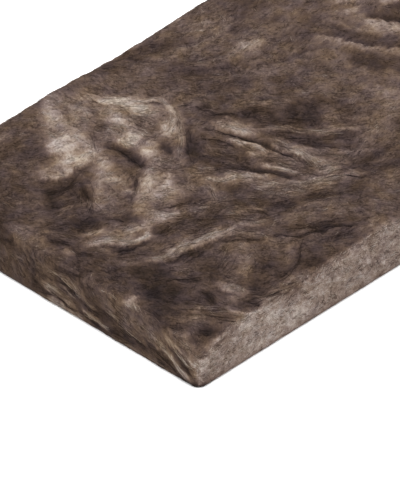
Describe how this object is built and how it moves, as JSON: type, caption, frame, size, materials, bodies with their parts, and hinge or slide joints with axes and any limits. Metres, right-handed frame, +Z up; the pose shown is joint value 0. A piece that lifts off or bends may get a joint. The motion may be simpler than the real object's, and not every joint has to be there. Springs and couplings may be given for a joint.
{
  "type": "glass wool insulation batt",
  "caption": "Unfaced brown glass wool insulation batt: a soft rectangular slab that is friction-fitted in a wall, floor or ceiling bay.",
  "frame": {"origin": "middle of the flat underside", "axes": "+X along the batt's length, +Y across its width, +Z up through its loft"},
  "size_m": [1.2192, 0.6096, 0.0889],
  "materials": {
    "glass_wool": "matt brown resin-bonded glass wool, streaked from near black in the folds to pale tan on the raised tufts"
  },
  "bodies": {
    "root": {"batt": "glass_wool"}
  },
  "joints": []
}
